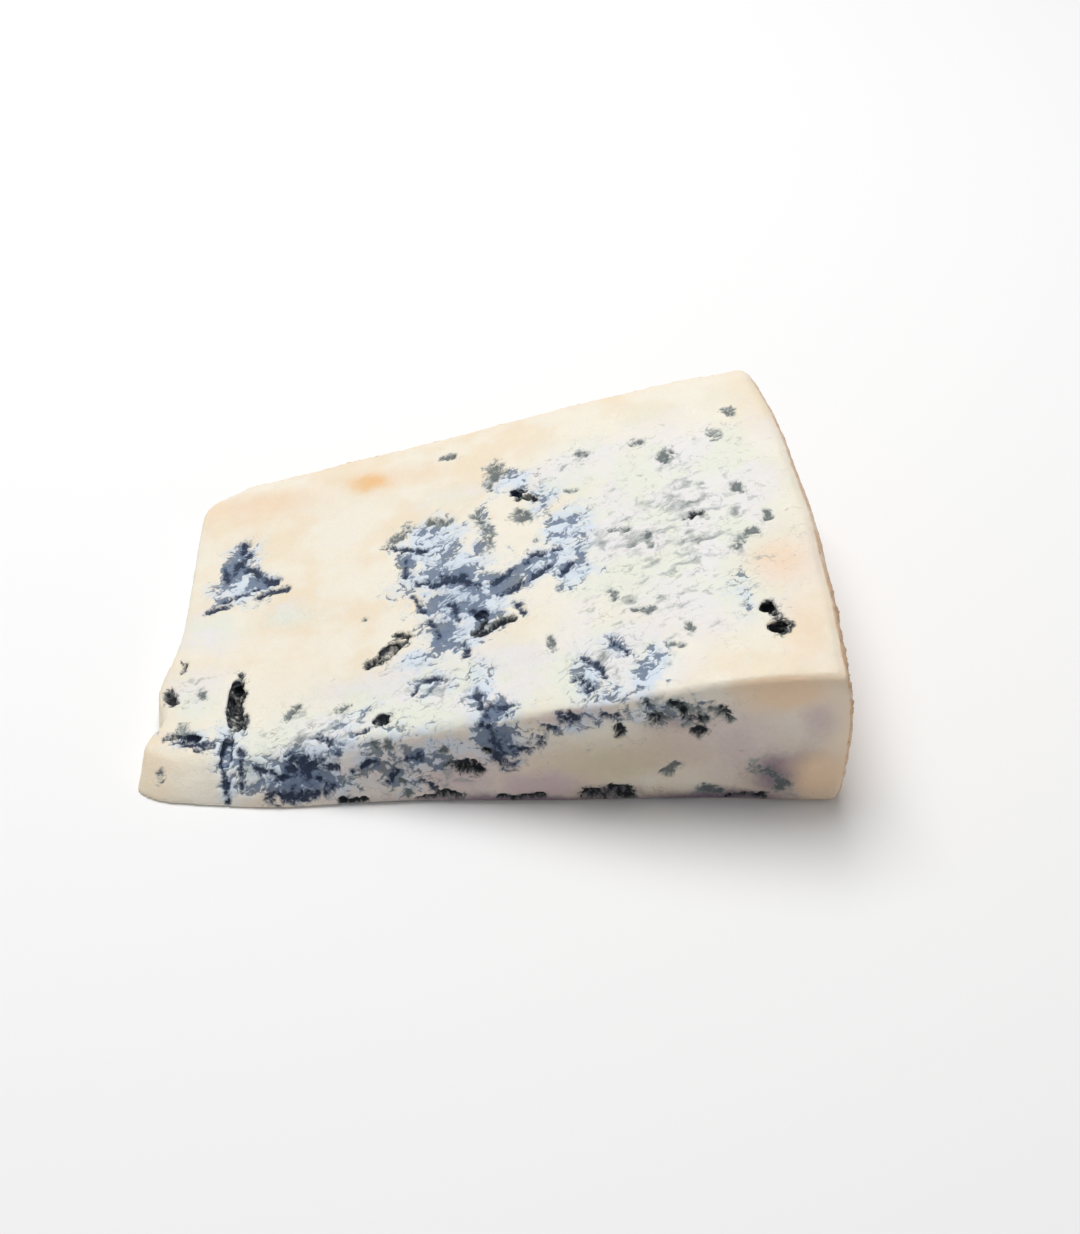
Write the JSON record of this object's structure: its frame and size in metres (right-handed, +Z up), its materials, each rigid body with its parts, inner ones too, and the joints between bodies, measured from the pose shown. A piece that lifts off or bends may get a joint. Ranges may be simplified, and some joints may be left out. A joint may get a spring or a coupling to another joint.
{
  "type": "blue cheese wedge",
  "caption": "Wedge of soft blue-veined cheese lying on one long cut face, thin at one end and thick at the rind.",
  "frame": {"origin": "middle of the underside's box, on the surface the wedge lies on", "axes": "+X from the thin end to the rind, +Y from the near cut side to the wheel's flat face, +Z up"},
  "size_m": [0.1438, 0.0964, 0.0404],
  "materials": {
    "cheese": "moist soft cream paste, mottled with pale blue mould and dark blue-green veins"
  },
  "bodies": {
    "root": {"cheese_wedge": "cheese"}
  },
  "joints": []
}
